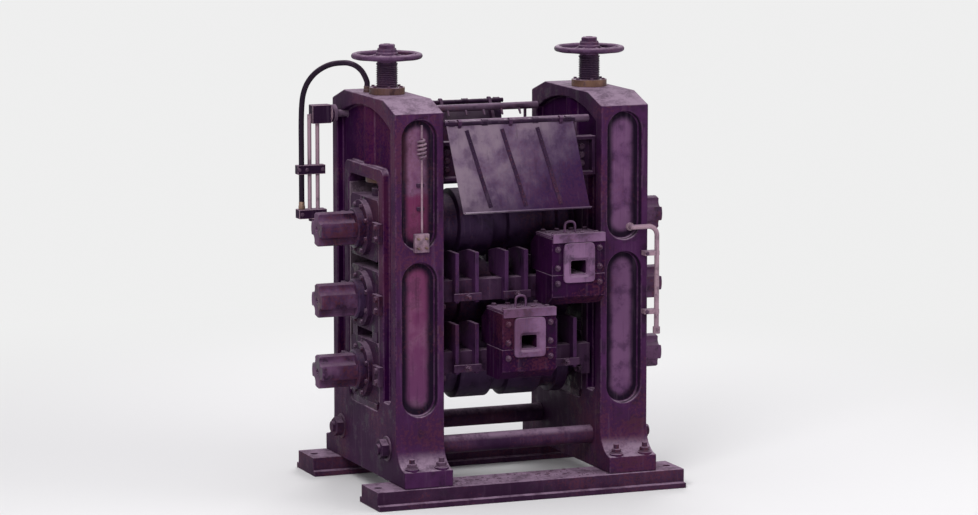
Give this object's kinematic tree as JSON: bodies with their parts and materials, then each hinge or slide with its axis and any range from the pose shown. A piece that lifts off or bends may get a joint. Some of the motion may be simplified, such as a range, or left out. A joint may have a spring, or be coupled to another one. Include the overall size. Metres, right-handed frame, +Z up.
{
  "type": "rolling mill stand",
  "caption": "Three-high bar rolling mill stand: closed-top cast housings, grooved rolls in chocks, hand-turned screws, box guides and sloping roll guards.",
  "frame": {"origin": "middle of the floor under the stand, at the underside of its bedplates", "axes": "+X along the roll axes to the right as seen from the front, -Y towards the front guides, +Z up"},
  "size_m": [2.38, 1.6, 2.88],
  "materials": {
    "housing_iron": "oily cast iron with old dark paint and dust on its ledges",
    "bedplate_iron": "oily cast iron with scale and dust",
    "beam_steel": "worn dark paint over steel",
    "bar_steel": "oily machined steel with rust",
    "guide_iron": "scaled cast iron, wiped bright in places",
    "guard_sheet": "grey sheet with grease runs",
    "chock_iron": "greasy cast iron",
    "liner_steel": "worn steel with grease",
    "nut_bronze": "dull bronze",
    "pipe_steel": "galvanised pipe gone dull",
    "fitting_brass": "dull brass",
    "hose_rubber": "matt black rubber",
    "roll_iron": "chilled iron turned bright, with heat tint and scale",
    "screw_steel": "greased steel",
    "wheel_iron": "cast iron, worn bright on the rim"
  },
  "bodies": {
    "frame": {"housing_left": "housing_iron", "housing_right": "housing_iron", "bedplate_front": "bedplate_iron", "bedplate_rear": "bedplate_iron", "separator_front": "beam_steel", "separator_rear": "beam_steel", "tie_rod_front": "beam_steel", "tie_rod_rear": "beam_steel", "rest_bars_front": "bar_steel", "rest_bars_rear": "bar_steel", "packing_left": "bar_steel", "packing_right": "bar_steel", "keepers_left": "bar_steel", "keepers_right": "bar_steel", "box_guides_front": "guide_iron", "box_guides_rear": "guide_iron", "side_guides_front": "guide_iron", "side_guides_rear": "guide_iron", "roll_guard_front": "guard_sheet", "roll_guard_rear": "guard_sheet", "chock_bottom_left": "chock_iron", "chock_bottom_right": "chock_iron", "chock_middle_left": "chock_iron", "chock_middle_right": "chock_iron", "liners_left": "liner_steel", "liners_right": "liner_steel", "screw_nut_left": "nut_bronze", "screw_nut_right": "nut_bronze", "spray_header_front": "pipe_steel", "spray_header_rear": "pipe_steel", "water_riser": "pipe_steel", "post_pipe": "pipe_steel", "hose_fittings": "fitting_brass", "hose": "hose_rubber"},
    "top_set": {"chock_top_left": "chock_iron", "chock_top_right": "chock_iron", "breaker_block_left": "bar_steel", "breaker_block_right": "bar_steel"},
    "top_roll": {"roll_top": "roll_iron"},
    "middle_roll": {"roll_middle": "roll_iron"},
    "bottom_roll": {"roll_bottom": "roll_iron"},
    "left_screw": {"screw_left": "screw_steel", "handwheel_left": "wheel_iron"},
    "right_screw": {"screw_right": "screw_steel", "handwheel_right": "wheel_iron"}
  },
  "joints": [
    {"name": "top_roll_lift", "type": "slide", "parent": "frame", "child": "top_set", "axis": [0, 0, 1], "range_m": [-0.0061, 0.0301]},
    {"name": "left_screw_turn", "type": "hinge", "parent": "top_set", "child": "left_screw", "pos_m": [-0.705, 0, 2.4], "axis": [0, 0, 1], "range_deg": [-180, 900]},
    {"name": "right_screw_turn", "type": "hinge", "parent": "top_set", "child": "right_screw", "pos_m": [0.705, 0, 2.4], "axis": [0, 0, 1], "range_deg": [-181, 901]},
    {"name": "top_roll_spin", "type": "hinge", "parent": "top_set", "child": "top_roll", "pos_m": [0, 0, 1.704], "axis": [1, 0, 0], "continuous": true},
    {"name": "middle_roll_spin", "type": "hinge", "parent": "frame", "child": "middle_roll", "pos_m": [0, 0, 1.242], "axis": [1, 0, 0], "continuous": true},
    {"name": "bottom_roll_spin", "type": "hinge", "parent": "frame", "child": "bottom_roll", "pos_m": [0, 0, 0.78], "axis": [1, 0, 0], "continuous": true}
  ],
  "couplings": [
    {"joint": "top_roll_lift", "follows": "left_screw_turn", "m_per_rad": 0.0019099},
    {"joint": "right_screw_turn", "follows": "left_screw_turn", "ratio": 1}
  ]
}
